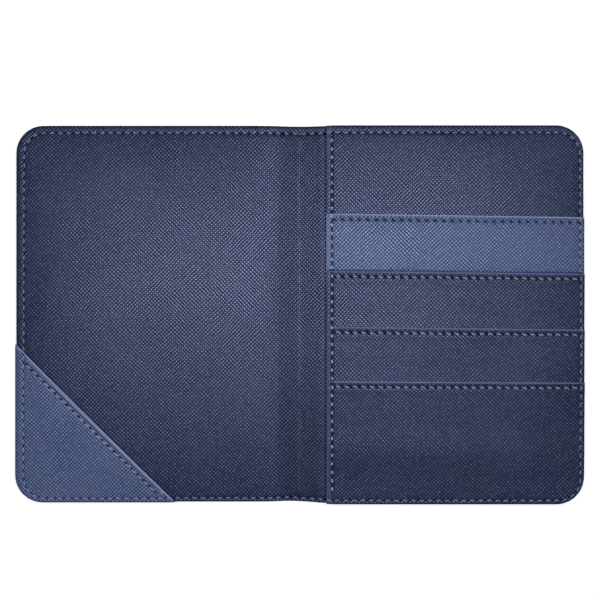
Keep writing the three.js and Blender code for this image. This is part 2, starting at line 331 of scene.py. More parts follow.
def resample(points, step, closed=True):
    """Points at most a step apart along the same line"""
    count = len(points) if closed else len(points) - 1
    found = []
    for place in range(count):
        here, there = points[place], points[(place + 1) % len(points)]
        parts = max(1, math.ceil(np.linalg.norm(there - here) / step))
        found.extend(here + (there - here) * part / parts for part in range(parts))
    if not closed:
        found.append(points[-1])
    return np.array(found)


def make_plan(planes=(), cut=None, edge_step=EDGE_STEP):
    """A piece's plan: the holder's outline, within planes given as (normal, limit). A plane named
    as the cut is where two skins meet, so its edge isn't rounded."""
    points = holder_outline()
    for normal, limit in planes:
        points = clip(points, normal, limit)
    return {"points": resample(points, edge_step), "planes": list(planes), "cut": cut}


def plan_depth(plan, x, y, with_cut=True):
    """Distance inside a plan"""
    depth = holder_depth(x, y)
    for place, (normal, limit) in enumerate(plan["planes"]):
        if with_cut or place != plan["cut"]:
            depth = np.minimum(depth, limit - normal[0] * x - normal[1] * y)
    return depth


def inward(plan):
    """How far each outline point moves when the outline is drawn in by one millimetre, and 1 where
    the edge is rounded"""
    points = plan["points"]
    ahead = np.roll(points, -1, 0) - points
    ahead /= np.linalg.norm(ahead, axis=1)[:, None]
    after = np.column_stack([-ahead[:, 1], ahead[:, 0]])
    before = np.roll(after, 1, 0)
    moves = (before + after) / (1 + (before * after).sum(1))[:, None]
    rounded = np.ones(len(points))
    if plan["cut"] is not None:
        normal, limit = plan["planes"][plan["cut"]]
        on_cut = np.abs(points @ np.array(normal) - limit) < NEAR_ZERO
        moves[on_cut] = 0
        at_end = on_cut & (np.abs(np.abs(points[:, 1]) - TOP) < NEAR_ZERO)
        moves[at_end] = np.column_stack([0 * points[at_end, 0], -np.sign(points[at_end, 1])])
        rounded[on_cut & ~at_end] = 0
    return moves, rounded


# ---- seams

def make_seam(points, shown=1.8, hole=0.9, hole_width=0.2, slant=0.0, darkness=1.0):
    """A line of stitching along points. shown is how much of each stitch lies on the surface, hole
    a needle hole's length, slant the turn of both, and darkness how strong the painted shade in its holes is."""
    fine = resample(np.array(points, float), LINE_STEP, closed=False)
    reach = np.concatenate([[0], np.cumsum(np.linalg.norm(np.diff(fine, axis=0), axis=1))])
    count = max(1, round(reach[-1] / STITCH_PITCH))
    stations = np.arange(count + 1) * reach[-1] / count
    seam = {"line": fine, "reach": reach, "stations": stations, "shown": shown, "hole": hole,
            "hole_width": hole_width, "slant": slant, "pitch": reach[-1] / count, "darkness": darkness}
    seam["places"], seam["tangents"] = along_seam(seam, stations)
    return seam


def along_seam(seam, distance):
    """Points and directions at distances along a seam"""
    line, reach = seam["line"], seam["reach"]
    places = np.column_stack([np.interp(distance, reach, line[:, axis]) for axis in (0, 1)])
    ahead, behind = (
        np.column_stack([np.interp(distance + way * LINE_STEP, reach, line[:, axis]) for axis in (0, 1)])
        for way in (1, -1)
    )
    direction = ahead - behind
    return places, direction / np.linalg.norm(direction, axis=1)[:, None]


SEAM_OFFSETS = (-1.3, -0.8, -0.5, -0.27, -0.09, 0.09, 0.27, 0.5, 0.8, 1.3)
SEAM_STEP = 0.39


def seam_points(seam):
    """Fine mesh points on and beside a seam"""
    distance = np.arange(0, seam["reach"][-1], SEAM_STEP)
    places, direction = along_seam(seam, distance)
    sideways = np.column_stack([-direction[:, 1], direction[:, 0]])
    return np.vstack([places + sideways * offset for offset in SEAM_OFFSETS])


def seam_relief(x, y, seams):
    """How far stitching pulls a surface down, and how strong the painted shade in its needle holes is"""
    sink, dark = np.zeros_like(x), np.zeros_like(x)
    for seam in seams:
        gap_x = x[:, None] - seam["places"][None, :, 0]
        gap_y = y[:, None] - seam["places"][None, :, 1]
        nearest = np.argmin(gap_x ** 2 + gap_y ** 2, axis=1)
        rows = np.arange(len(x))
        gap_x, gap_y = gap_x[rows, nearest], gap_y[rows, nearest]
        ahead = seam["tangents"][nearest]
        along = gap_x * ahead[:, 0] + gap_y * ahead[:, 1]
        across = gap_y * ahead[:, 0] - gap_x * ahead[:, 1]
        near = np.abs(along) < seam["pitch"]
        turn = seam["slant"]
        hole_along = along * math.cos(turn) + across * math.sin(turn)
        hole_across = across * math.cos(turn) - along * math.sin(turn)
        far_along = hole_along / (seam["hole"] * HOLE_LENGTH)
        far_across = hole_across / (seam["hole_width"] * HOLE_BREADTH)
        shape = np.exp(-far_along ** 4 - far_across ** 2)
        furrow = FURROW_DEPTH * np.exp(-(across / FURROW_REACH) ** 2)
        sink = np.maximum(sink, near * (furrow + HOLE_DEPTH * shape))
        dark = np.maximum(dark, near * seam["darkness"] * smooth(*HOLE_SHADE, shape))
    return sink, dark


# ---- sheets

def drawn_in(x, y):
    """The front half is a little shorter than the back, and the spine draws in at both ends"""
    lower = np.clip(-y / TOP, 0, 1) ** 2
    upper = np.clip(y / TOP, 0, 1) ** 2
    waist = np.exp(-(x / WAIST_REACH) ** 2)
    front = 1 - smooth(*FRONT_FADE, x)
    return (FRONT_LIFT * front + WAIST * waist) * lower - WAIST * waist * upper


def to_object(name, vertices, faces, marks, turn=0.0, shift=(0.0, 0.0)):
    """A mesh piece from points in millimetres, with its shading marks and its grain map"""
    mesh = bpy.data.meshes.new(name)
    points = np.array(vertices)
    points[:, 1] += drawn_in(points[:, 0], points[:, 1])
    mesh.from_pydata((points * MM).tolist(), [], faces)
    mesh.update()
    for mark, values in marks.items():
        attribute = mesh.attributes.new(mark, "FLOAT", "POINT")
        attribute.data.foreach_set("value", np.array(values, np.float32))
    flat = np.array(vertices)[:, :2]
    grain = np.column_stack([
        flat[:, 0] * math.cos(turn) - flat[:, 1] * math.sin(turn) + shift[0],
        flat[:, 0] * math.sin(turn) + flat[:, 1] * math.cos(turn) + shift[1],
    ])
    corners = np.zeros(len(mesh.loops), int)
    mesh.loops.foreach_get("vertex_index", corners)
    layer = mesh.uv_layers.new(name="grain")
    layer.data.foreach_set("uv", grain[corners].astype(np.float32).ravel())
    mesh.shade_smooth()
    piece = bpy.data.objects.new(name, mesh)
    bpy.context.scene.collection.objects.link(piece)
    return piece


def triangulate(ring, inner):
    """Triangles over a ring and the points in it: all points, faces, and the ring's places"""
    count = len(ring)
    points = [Vector(point) for point in np.vstack([ring, inner]).tolist()]
    places, _, faces, origins, _, _ = delaunay_2d_cdt(points, [], [list(range(count))], 1, 1e-4)
    place_of = {source: place for place, sources in enumerate(origins) for source in sources}
    return np.array([tuple(place) for place in places]), faces, [place_of[source] for source in range(count)]


def grid_points(plan, step, margin, bend=False):
    """Evenly spaced points inside a plan, closer together across the spine's creases when bend is set"""
    xs = np.arange(-RIGHT, RIGHT, step)
    if bend:
        reach = BEND_END + CREASE_MARGIN
        xs = np.concatenate([xs[np.abs(xs) > BEND_END + 2], np.arange(-reach, reach, CREASE_STEP)])
    x, y = (axis.ravel() for axis in np.meshgrid(xs, np.arange(-TOP + 0.4, TOP, step)))
    inside = plan_depth(plan, x, y) > margin
    return np.column_stack([x, y])[inside]


def rim_strength(x):
    """Strength of the painted highlight on folded edges, whose grain is flattened too, and the panel's left
    edge less so than the others
    """
    return 1 - PANEL_EDGE_LOSS * (1 - smooth(*PANEL_EDGE_REACH, np.abs(x - PANEL_LEFT)))


def slab(name, plan, top, bottom, rounding, under_rounding, top_seams=(), bottom_seams=(), lines=(),
         free_planes=(), shade_lines=(), smooth_highlight_strip=0.0, bend=False, fine=COARSE_STEP, turn=0.0,
         shift=(0.0, 0.0), spread=0.0):
    """A closed sheet between two heights, with rounded edges. lines are extra mesh points where the
    height changes, free_planes its folded edges, with a painted highlight, shade_lines the painted shadow
    where the edge of a sheet above lies, turn and shift the grain's place, and spread how far the sheet
    stands out."""
    moves, rounded = inward(plan)
    outline = plan["points"] - moves * spread
    vertices, faces = [], []
    marks = {"hole": [], "rim": [], "edge": []}

    def surface(height, seams, inset, step, extra, sign):
        ring = outline + moves * inset
        margin = inset + POINT_CLEARANCE
        inner = [grid_points(plan, step, margin, bend)]
        for group in [*[seam_points(seam) for seam in seams], *extra]:
            inside = plan_depth(plan, *group.T) > margin
            inner.append(group[inside])
        flat, found, ring_places = triangulate(ring, np.vstack(inner))
        x, y = flat[:, 0], flat[:, 1]
        sink, dark = seam_relief(x, y, seams)
        z = height(x, y) - sign * sink
        first = len(vertices)
        vertices.extend(np.column_stack([x, y, z]).tolist())
        faces.extend([first + corner for corner in face] for face in found)
        free = np.full(len(x), FAR)
        for normal, limit in free_planes:
            free = np.minimum(free, limit - normal[0] * x - normal[1] * y)
        # Folded edges and the panel's left strip: flattened grain and a painted highlight
        rim = rim_strength(x) * (1 - smooth(*FOLD_WIDTH, free))
        if smooth_highlight_strip:
            past = smooth(smooth_highlight_strip - STRIP_FADE, smooth_highlight_strip + STRIP_FADE, x - PANEL_LEFT)
            rim = np.maximum(rim, STRIP_STRENGTH * (1 - past))
        marks["hole"].extend(dark)
        marks["rim"].extend(rim)
        edge = EDGE_STRENGTH * (1 - smooth(*EDGE_WIDTH, plan_depth(plan, x, y, with_cut=False)))
        # A painted shadow on this sheet where the edge of a sheet above lies
        for (normal, limit), strength in shade_lines:
            beyond = normal[0] * x + normal[1] * y - limit
            line = smooth(*SHADE_START, beyond) * (1 - smooth(*SHADE_END, beyond))
            edge = np.maximum(edge, strength * line)
        # On the spine the painted shade joins the edge mark
        marks["edge"].extend(np.maximum(edge, painted_spine_shade(x)) if bend else edge)
        return [first + place for place in ring_places]

    def ring_at(inset, z):
        first = len(vertices)
        flat = outline + moves * inset
        vertices.extend(np.column_stack([flat, z]).tolist())
        free = np.full(len(flat), FAR)
        for normal, limit in free_planes:
            free = np.minimum(free, np.abs(limit - flat @ np.array(normal)))
        marks["hole"].extend(np.zeros(len(flat)))
        inside = smooth(*OUTLINE_FADE, holder_depth(*flat.T))
        # Rounded folded edges get the painted highlight, other rounded edges edge paint
        marks["rim"].extend((free < 1) * rim_strength(flat[:, 0]) * inside)
        marks["edge"].extend(rounded * (free >= 1))
        return list(range(first, first + len(flat)))

    upper = surface(top, top_seams, rounding, fine, list(lines), 1)
    plateau = outline + moves * rounding
    upper_z = top(*plateau.T)
    under_plateau = outline + moves * under_rounding
    lower_z = bottom(*under_plateau.T)
    rings = [upper]
    for step in range(1, ROUNDING_STEPS + 1):
        lean = step / ROUNDING_STEPS * math.pi / 2
        drop = rounded * rounding * (1 - math.cos(lean))
        rings.append(ring_at(rounding * (1 - math.sin(lean)), upper_z - drop))
    for step in range(ROUNDING_STEPS):
        lean = step / ROUNDING_STEPS * math.pi / 2
        rise = rounded * under_rounding * (1 - math.sin(lean))
        rings.append(ring_at(under_rounding * (1 - math.cos(lean)), lower_z + rise))
    under_step = fine if bottom_seams else HIDDEN_STEP
    rings.append(surface(bottom, bottom_seams, under_rounding, under_step, [], -1))
    count = len(outline)
    for above, below in zip(rings, rings[1:]):
        for place in range(count):
            after = (place + 1) % count
            faces.append([above[place], above[after], below[after], below[place]])
    piece = to_object(name, vertices, faces, marks, turn, shift)
    tidy_mesh(piece)
    return piece


def tidy_mesh(piece):
    """Welds the corners that meet on a cut, and turns every face outwards"""
    work = bmesh.new()
    work.from_mesh(piece.data)
    bmesh.ops.remove_doubles(work, verts=work.verts, dist=1e-7)
    bmesh.ops.recalc_face_normals(work, faces=work.faces)
    for edge in work.edges:
        edge.smooth = edge.calc_face_angle(0.0) < SHARP_ANGLE
    work.to_mesh(piece.data)
    work.free()


# A hem's section: how far in from the outline, and its share of the height. None is its full width.
HEM_SECTION = ((0.15, 0), (0.03, 0.2), (0.03, 0.8), (0.15, 1), (None, 1), (None, 0))


def band(name, line, width, bottom, top):
    """A narrow strip along the inside of a stretch of the outline, with a rounded outer edge"""
    ahead = np.gradient(line, axis=0)
    ahead /= np.linalg.norm(ahead, axis=1)[:, None]
    inside = np.column_stack([-ahead[:, 1], ahead[:, 0]])
    vertices, faces = [], []
    for inset, share in HEM_SECTION:
        flat = line + inside * (inset or width)
        low_z, high_z = bottom(*flat.T), top(*flat.T)
        vertices.append(np.column_stack([flat, low_z + (high_z - low_z) * share]))
    count, sides = len(line), len(HEM_SECTION)
    for side in range(sides):
        after = (side + 1) % sides
        for place in range(count - 1):
            corner, turned = side * count + place, after * count + place
            faces.append([corner, corner + 1, turned + 1, turned])
    faces.append([side * count for side in range(sides)])
    faces.append([side * count + count - 1 for side in reversed(range(sides))])
    points = np.vstack(vertices)
    edge = np.repeat([1.0 if inset else 0.0 for inset, _ in HEM_SECTION], count)
    piece = to_object(name, points, faces, {"hole": 0 * edge, "rim": 0 * edge, "edge": edge})
    tidy_mesh(piece)
    return piece


# ---- stitches

# A stitch's plies: their turns along it, and their radius and offset as shares of the thread's
PLIES = 2
PLY_SIDES = 6
PLY_SECTIONS = 10
PLY_TURNS = 0.9
PLY_RADIUS = 0.6
PLY_OFFSET = 0.42

# Its shape: how it leans, dives into its holes and thins there, and how uneven it is
LEAN_SHARE = 0.55
END_DIVE = 0.3
END_TAPER = 0.35
WANDER = 0.05
LIFT_SPREAD = 0.02
LOWEST = 0.01


def stitches(name, seam, height, thread=THREAD_RADIUS, lift=0.16, below=False, seed=1):
    """One piece of two-ply twisted thread for each stitch, from needle hole to needle hole. Under
    the cover the stitches hang below its surface."""
    random = np.random.default_rng(seed)
    sign = -1 if below else 1
    starts, ends = seam["stations"][:-1], seam["stations"][1:]
    count = len(starts)
    share = np.linspace(0, 1, PLY_SECTIONS)
    gap = (seam["pitch"] - seam["shown"]) / 2
    distance = starts[:, None] + gap + (ends - starts - 2 * gap)[:, None] * share
    flat, ahead = along_seam(seam, distance.ravel())
    sideways = np.column_stack([-ahead[:, 1], ahead[:, 0]])
    lean = math.tan(seam["slant"]) * (share - 0.5) * (seam["pitch"] - 2 * gap) * LEAN_SHARE
    wander = random.normal(0, WANDER, (count, 1))
    flat = flat + sideways * (lean + wander).ravel()[:, None]
    surface = height(*flat.T).reshape(count, -1)
    straight = surface[:, :1] * (1 - share) + surface[:, -1:] * share
    ground = np.maximum(surface, straight) if not below else surface
    bow = np.sin(np.pi * share) ** 0.5 * (lift + random.normal(0, LIFT_SPREAD, (count, 1)))
    rise = bow - END_DIVE * np.abs(2 * share - 1) ** 6
    centre = np.column_stack([flat, (ground + sign * rise).ravel()])
    up = np.array([0.0, 0.0, 1.0])
    across = np.column_stack([sideways, np.zeros(len(sideways))])
    start_turn = random.uniform(0, 2 * math.pi, (count, 1))
    taper = np.tile(1 - END_TAPER * np.abs(2 * share - 1) ** 4, count)
    vertices, faces, first = [], [], 0
    for ply in range(PLIES):
        twist = (start_turn + 2 * math.pi * PLY_TURNS * share + math.pi * ply).ravel()
        offset = PLY_OFFSET * thread * (np.cos(twist)[:, None] * across + np.sin(twist)[:, None] * up)
        ply_centre = centre + offset
        rings = []
        for side in range(PLY_SIDES):
            angle = 2 * math.pi * side / PLY_SIDES
            spoke = math.cos(angle) * across + math.sin(angle) * up
            rings.append(ply_centre + PLY_RADIUS * thread * taper[:, None] * spoke)
        vertices.append(np.stack(rings, 1).reshape(-1, 3))
        for stitch in range(count):
            base = first + stitch * PLY_SECTIONS * PLY_SIDES
            for section in range(PLY_SECTIONS - 1):
                for side in range(PLY_SIDES):
                    after = (side + 1) % PLY_SIDES
                    here = base + section * PLY_SIDES
                    there = here + PLY_SIDES
                    faces.append([here + side, here + after, there + after, there + side])
            faces.append([base + side for side in reversed(range(PLY_SIDES))])
            last = base + (PLY_SECTIONS - 1) * PLY_SIDES
            faces.append([last + side for side in range(PLY_SIDES)])
        first += count * PLY_SECTIONS * PLY_SIDES
    points = np.vstack(vertices)
    if below:
        points[:, 2] = np.maximum(points[:, 2], LOWEST)
    return to_object(name, points, faces, {})


# ---- materials

class Nodes:
    """Short ways to add shader nodes to a material or world"""

    def __init__(self, owner, shader="Principled BSDF"):
        owner.use_nodes = True
        self.owner = owner
        self.tree = owner.node_tree
        self.shader = self.tree.nodes[shader]

    def add(self, kind, inputs=(), **settings):
        node = self.tree.nodes.new(kind)
        for key, value in settings.items():
            setattr(node, key, value)
        for place, value in inputs:
            self.set(node.inputs[place], value)
        return node

    def set(self, socket, value):
        if isinstance(value, bpy.types.NodeSocket):
            self.tree.links.new(value, socket)
        else:
            socket.default_value = value

    def paint(self, name, value):
        """Gives the surface shader's named input a value or a link"""
        self.set(self.shader.inputs[name], value)

    def math(self, operation, first, second=0.0, third=0.0):
        inputs = [(0, first), (1, second), (2, third)]
        return self.add("ShaderNodeMath", inputs, operation=operation).outputs[0]

    def blend(self, share, first, second):
        """Mix node in colour mode, whose colour sockets come after its number and vector ones"""
        inputs = [(0, share), (6, first), (7, second)]
        return self.add("ShaderNodeMix", inputs, data_type="RGBA").outputs[2]

    def step(self, value, start, end, before=0.0, after=1.0):
        inputs = [(0, value), (1, start), (2, end), (3, before), (4, after)]
        return self.add("ShaderNodeMapRange", inputs, interpolation_type="SMOOTHSTEP").outputs[0]

    def noise(self, place, scale, detail=2.0, output="Fac"):
        inputs = [("Vector", place), ("Scale", scale), ("Detail", detail)]
        return self.add("ShaderNodeTexNoise", inputs).outputs[output]

    def split(self, vector):
        return self.add("ShaderNodeSeparateXYZ", [(0, vector)]).outputs

    def mark(self, name):
        return self.add("ShaderNodeAttribute", attribute_name=name).outputs["Fac"]

    def grain(self):
        return self.add("ShaderNodeUVMap", uv_map="grain").outputs[0]

    def place(self):
        return self.add("ShaderNodeTexCoord").outputs["Object"]

    def bump(self, height, strength, depth):
        """Fine relief, its depth in millimetres"""
        inputs = [("Strength", strength), ("Distance", depth * MM), ("Height", height)]
        self.paint("Normal", self.add("ShaderNodeBump", inputs).outputs[0])


def colour(red, green, blue):
    """A linear colour from 0 to 255 display values"""
    return tuple(((value / 255 + 0.055) / 1.055) ** 2.4 for value in (red, green, blue)) + (1.0,)


# The grain's lattice: its pitch in millimetres, and the noise (scale, detail) and reach of two drifts
GRAIN_PITCH = 1.02
SLOW_NOISE = (0.12, 1.0)
SLOW_DRIFT = 0.7
QUICK_NOISE = (0.55, 0.0)
QUICK_DRIFT = 0.25

# How strong each family of ridges is, and how much of that changes places over the sheet
RISING_WEIGHT = 0.2
FALLING_WEIGHT = 0.3
WEIGHT_CHANGE = 0.1
WEIGHT_NOISE = (0.055, 1.0)
WEIGHT_RANGE = (0.35, 0.65)

# Heights where a grain's plateau and its peak begin and end, from 0 at the groove to 1
PLATEAU = (0.12, 0.62)
PEAK = (0.6, 0.95)

# Shades: the peaks' painted highlight, uneven from cell to cell, the large faint mottle, and the marks:
# the painted highlight of folds, edge paint and painted shade along edges, and painted shade in holes
SPARKLE_SPREAD = 0.9
MOTTLE_NOISE = (0.035, 3.0)
MOTTLE_RANGE = (0.3, 0.7)
MOTTLE_STRENGTH = 0.06
MARK_STRENGTH = 0.85
FLAT_EDGE = (0.6, 0.9)
HOLE_BRIGHTNESS = 0.1

# Gloss: plain roughness, and what peaks, fine noise and holes add. Grooves and edges shine less, and the
# edge mark also dims reflection where it carries painted shade.
LEATHER_ROUGHNESS = 0.31
PEAK_ROUGHNESS = -0.06
NOISE_ROUGHNESS = 0.08
HOLE_ROUGHNESS = 0.4
GROOVE_SHINE = 0.6
EDGE_SHINE_LOSS = 0.8
PORE_NOISE = (3.0, 3.0)
PORE_DEPTH = 0.1
GRAIN_DEPTH = 0.15


def saffiano(name, groove, body, crest_highlight, rim, tint, specular):
    """Crosshatch-embossed leather: two families of ridges at 45 degrees to the sheet, with a raised
    grain where they cross. Its grooves are painted darker as shade, and its peaks brighter as a highlight."""
    nodes = Nodes(bpy.data.materials.new(name))
    grain = nodes.grain()
    across, up, _ = nodes.split(grain)
    rate = SQUARE_ROOT_HALF / GRAIN_PITCH
    slow = nodes.split(nodes.noise(grain, *SLOW_NOISE, output="Color"))
    quick = nodes.split(nodes.noise(grain, *QUICK_NOISE, output="Color"))
    rising, falling = (
        nodes.math("MULTIPLY_ADD", nodes.math(way, across, up), rate,
                   nodes.math("ADD", nodes.math("MULTIPLY", slow[axis], SLOW_DRIFT),
                              nodes.math("MULTIPLY", quick[axis], QUICK_DRIFT)))
        for axis, way in enumerate(("ADD", "SUBTRACT"))
    )
    favour = nodes.step(nodes.noise(grain, *WEIGHT_NOISE), *WEIGHT_RANGE)
    families = ((rising, WEIGHT_CHANGE, RISING_WEIGHT), (falling, -WEIGHT_CHANGE, FALLING_WEIGHT))
    waves = [
        nodes.math("MULTIPLY", nodes.math("COSINE", nodes.math("MULTIPLY", family, 2 * math.pi)),
                   nodes.math("MULTIPLY_ADD", favour, change, weight))
        for family, change, weight in families
    ]
    smoothed = nodes.math("MAXIMUM", nodes.mark("rim"), nodes.step(nodes.mark("edge"), *FLAT_EDGE))
    relief = nodes.math("MULTIPLY", nodes.math("ADD", *waves),
                        nodes.math("MULTIPLY_ADD", smoothed, -MARK_STRENGTH, 1.0))
    height = nodes.math("ADD", relief, 0.5)
    plateau = nodes.step(height, *PLATEAU)
    peak = nodes.step(height, *PEAK)
    cell = nodes.add("ShaderNodeCombineXYZ", [
        (0, nodes.math("ROUND", rising)),
        (1, nodes.math("ROUND", falling)),
    ]).outputs[0]
    chance = nodes.add("ShaderNodeTexWhiteNoise", [("Vector", cell)]).outputs["Value"]
    uneven = nodes.math("MULTIPLY_ADD", chance, SPARKLE_SPREAD, 1 - SPARKLE_SPREAD)
    sparkle = nodes.math("MULTIPLY", peak, uneven)
    # Painted shade darkens the grooves, and a painted highlight, random in strength from cell to cell,
    # lightens the peaks
    base = nodes.blend(plateau, groove, body)
    base = nodes.blend(sparkle, base, crest_highlight)
    mottle = nodes.step(nodes.noise(grain, *MOTTLE_NOISE), *MOTTLE_RANGE)
    base = nodes.blend(nodes.math("MULTIPLY", mottle, MOTTLE_STRENGTH), base, crest_highlight)
    # The rim mark brings the painted highlight, the edge mark edge paint, painted shadows and the spine's
    # painted shade
    for mark, shade in (("rim", rim), ("edge", groove)):
        base = nodes.blend(nodes.math("MULTIPLY", nodes.mark(mark), MARK_STRENGTH), base, shade)
    # Painted shade in the needle holes
    dark = tuple(HOLE_BRIGHTNESS * value for value in groove[:3]) + (1.0,)
    nodes.paint("Base Color", nodes.blend(nodes.mark("hole"), base, dark))
    rough = nodes.math("MULTIPLY_ADD", peak, PEAK_ROUGHNESS, LEATHER_ROUGHNESS)
    rough = nodes.math("MULTIPLY_ADD", nodes.noise(grain, 0.5), NOISE_ROUGHNESS, rough)
    nodes.paint("Roughness", nodes.math("MULTIPLY_ADD", nodes.mark("hole"), HOLE_ROUGHNESS, rough))
    shine = nodes.math("MULTIPLY_ADD", plateau, (1 - GROOVE_SHINE) * specular, GROOVE_SHINE * specular)
    kept = nodes.math("MULTIPLY_ADD", nodes.mark("edge"), -EDGE_SHINE_LOSS, 1.0)
    nodes.paint("Specular IOR Level", nodes.math("MULTIPLY", shine, kept))
    nodes.paint("Specular Tint", tint)
    pores = nodes.math("MULTIPLY_ADD", nodes.noise(grain, *PORE_NOISE), PORE_DEPTH, plateau)
    nodes.bump(pores, 1.0, GRAIN_DEPTH)
    return nodes.owner


def thread_finish(name, shade, dark, rough=0.55):
    """Bonded polyester thread with fine fibres and a faint sheen"""
    nodes = Nodes(bpy.data.materials.new(name))
    fibres = nodes.noise(nodes.place(), 9000.0)
    nodes.paint("Base Color", nodes.blend(nodes.step(fibres, 0.35, 0.65), dark, shade))
    nodes.paint("Roughness", rough)
    nodes.paint("Sheen Weight", 0.3)
    nodes.paint("Sheen Roughness", 0.4)
    nodes.bump(fibres, 0.5, 0.03)
    return nodes.owner


def woven(name, shade, dark, pitch):
    """Plain fine weave, for the slot liners, its pitch in millimetres"""
    nodes = Nodes(bpy.data.materials.new(name))
    across, up, _ = nodes.split(nodes.place())
    warp, weft = (
        nodes.math("SINE", nodes.math("MULTIPLY", side, 2 * math.pi / (pitch * MM)))
        for side in (across, up)
    )
    over = nodes.step(nodes.math("MULTIPLY", warp, weft), -0.6, 0.6)
    nodes.paint("Base Color", nodes.blend(over, dark, shade))
    nodes.paint("Roughness", 0.85)
    nodes.bump(over, 0.6, 0.06)
    return nodes.owner


def greyboard(name, shade, dark):
    """Pressed board with short fibres"""
    nodes = Nodes(bpy.data.materials.new(name))
    stretch = [("Vector", nodes.place()), ("Scale", (400.0, 2200.0, 900.0))]
    fibres = nodes.noise(nodes.add("ShaderNodeMapping", stretch).outputs[0], 1.0, 5.0)
    nodes.paint("Base Color", nodes.blend(nodes.step(fibres, 0.3, 0.7), dark, shade))
    nodes.paint("Roughness", 0.9)
    nodes.bump(fibres, 0.4, 0.05)
    return nodes.owner


# In each leather the groove colour is painted shade and also the edge paint; the crest and rim colours are
# painted highlights
NAVY = saffiano("navy_saffiano", groove=colour(1, 7, 44), body=colour(2, 16, 62), crest_highlight=colour(106, 121, 150),
                rim=colour(116, 128, 180), tint=colour(196, 205, 255), specular=0.82)
LIGHT_BLUE = saffiano("light_blue_saffiano", groove=colour(30, 48, 94), body=colour(78, 96, 138),
                      crest_highlight=colour(156, 166, 196), rim=colour(166, 182, 226), tint=colour(190, 204, 255),
                      specular=0.75)
# The panel edge's stitches use the same thread as the others, painted much lighter as a highlight
THREAD = thread_finish("grey_blue_thread", colour(178, 186, 214), colour(112, 122, 156))
EDGE_THREAD = thread_finish("edge_thread", colour(172, 182, 208), colour(112, 122, 152))
HIGHLIGHT_THREAD = thread_finish("highlight_thread", colour(232, 236, 250), colour(176, 182, 208), rough=0.3)
BLUE_THREAD = thread_finish("light_blue_thread", colour(118, 134, 172), colour(76, 92, 134))
LINER = woven("liner_fabric", colour(46, 50, 76), colour(20, 22, 38), pitch=0.3)
BOARD = greyboard("board", colour(150, 142, 130), colour(116, 108, 98))


# ---- building the pieces

def finish_piece(piece, material, *nodes, body=None):
    """Gives a piece its material and slot, lets it stand for CAD nodes, and fixes it to a body"""
    piece.data.materials.append(material)
    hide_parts(*nodes)
    if body:
        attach(piece, body)


def perimeter_line(side):
    """The perimeter seam of one half, from the top of the spine round to its bottom"""
    seam_x = RIGHT - (SEAM_LEFT if side < 0 else SEAM_RIGHT)
    far_y, near_y = TOP - SEAM_TOP, -TOP + SEAM_BOTTOM
    turn_x = seam_x - SEAM_RADIUS
    upper = arc((turn_x, far_y - SEAM_RADIUS), SEAM_RADIUS, math.pi / 2, 0)
    lower = arc((turn_x, near_y + SEAM_RADIUS), SEAM_RADIUS, 0, -math.pi / 2)
    points = np.vstack([[(0, far_y)], upper, lower, [(0, near_y)]])
    points[:, 0] *= side
    return points


def line_points(start, end, offsets, step=2.0):
    """Mesh points along a straight line and lines beside it"""
    start, end = np.array(start, float), np.array(end, float)
    span = end - start
    count = max(2, int(np.linalg.norm(span) / step))
    places = start + span * np.linspace(0, 1, count)[:, None]
    sideways = np.array([-span[1], span[0]]) / np.linalg.norm(span)
    return np.vstack([places + sideways * offset for offset in offsets])


# Free edges, each as the direction out of the sheet and the line's distance from the origin
PANEL_EDGE = ((-1.0, 0.0), -PANEL_LEFT)
CORNER_EDGE = ((SQUARE_ROOT_HALF, SQUARE_ROOT_HALF), (CORNER_LEG - RIGHT - TOP) * SQUARE_ROOT_HALF + 0.25)


def mouth_plane(index):
    """The line of a pocket's mouth, in the same form"""
    slope = MOUTH_FALLS[index] / POCKET_WIDTH
    size = math.hypot(slope, 1)
    return (slope / size, 1 / size), (MOUTHS[index] + slope * MOUTH_MIDDLE) / size


def mouth_lines(index, offsets, below=0):
    """Mesh points along a line below a pocket's mouth, and beside that line"""
    left, right = [(x, mouth_y(index, x) - below) for x in (PANEL_LEFT, RIGHT)]
    return line_points(left, right, offsets)


SIDES = {"front": -1, "back": 1}
routes = {part: perimeter_line(side) for part, side in SIDES.items()}
perimeter = {part: make_seam(route, shown=1.6, hole_width=0.26) for part, route in routes.items()}
bobbin = {part: make_seam(route) for part, route in routes.items()}


